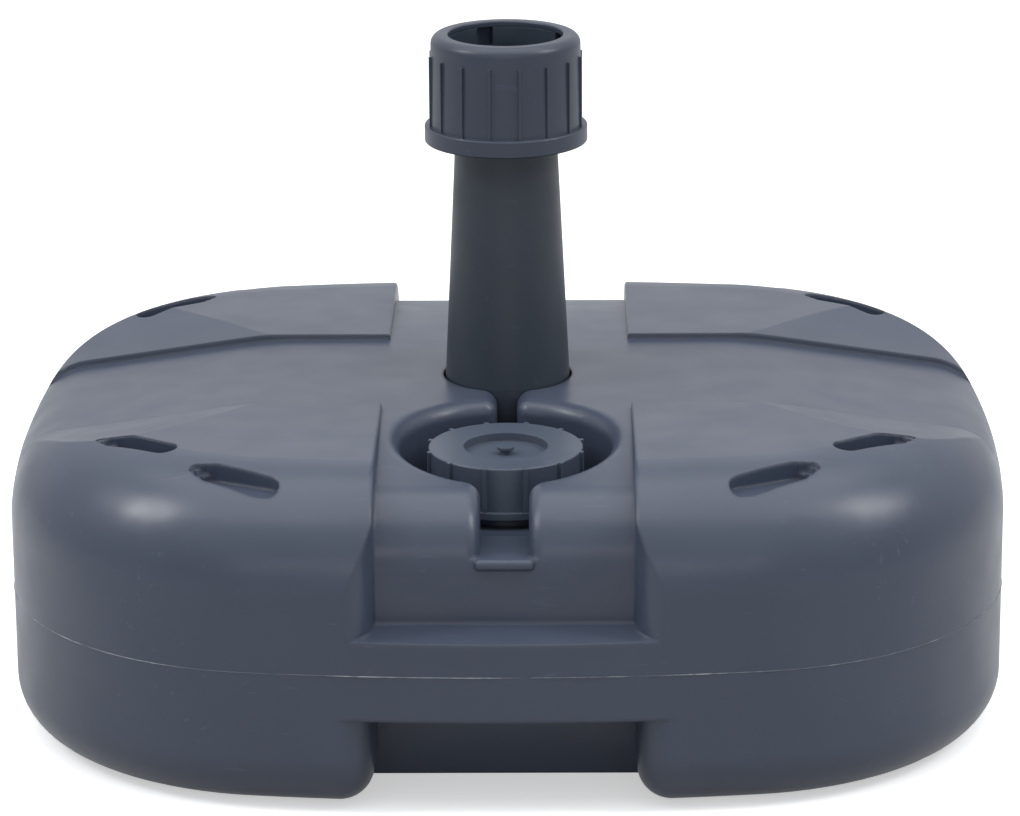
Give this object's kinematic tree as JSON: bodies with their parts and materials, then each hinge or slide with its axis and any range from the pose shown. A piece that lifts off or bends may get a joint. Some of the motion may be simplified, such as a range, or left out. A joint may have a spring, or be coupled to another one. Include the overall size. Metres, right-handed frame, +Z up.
{
  "type": "parasol base",
  "caption": "Fillable blow-moulded parasol base with a tapered stand tube, a screw clamp for the pole and a screw filler cap in a well.",
  "frame": {"origin": "on the floor, under the middle of the pole and of the tank", "axes": "+Z up along the pole, +X along the tank's long side, the filler well is on the -Y side"},
  "size_m": [0.4798, 0.4, 0.3223],
  "materials": {
    "tank_plastic": "blow-moulded anthracite polyethylene, satin",
    "tube_plastic": "moulded anthracite polypropylene, satin",
    "collet_plastic": "moulded anthracite polypropylene, satin",
    "nut_plastic": "moulded anthracite polypropylene, satin",
    "cap_plastic": "moulded anthracite polypropylene, satin",
    "seal_rubber": "black sealing rubber"
  },
  "bodies": {
    "base": {"tank": "tank_plastic", "stand_tube": "tube_plastic"},
    "collet": {"clamp_collet": "collet_plastic"},
    "nut": {"clamp_nut": "nut_plastic"},
    "seal": {"cap_seal": "seal_rubber"},
    "cap": {"filler_cap": "cap_plastic"}
  },
  "joints": [
    {"name": "clamp_lift", "type": "slide", "parent": "base", "child": "collet", "axis": [0, 0, 1], "range_m": [0, 0.0211]},
    {"name": "nut_turn", "type": "hinge", "parent": "collet", "child": "nut", "pos_m": [0, 0, 0.3], "axis": [0, 0, 1], "range_deg": [0, 1260]},
    {"name": "cap_lift", "type": "slide", "parent": "base", "child": "seal", "axis": [0, 0, 1], "range_m": [0, 0.0151]},
    {"name": "cap_turn", "type": "hinge", "parent": "seal", "child": "cap", "pos_m": [0, -0.098, 0.14], "axis": [0, 0, 1], "range_deg": [0, 1080]}
  ],
  "couplings": [
    {"joint": "clamp_lift", "follows": "nut_turn", "m_per_rad": 0.00095493},
    {"joint": "cap_lift", "follows": "cap_turn", "m_per_rad": 0.00079577}
  ]
}
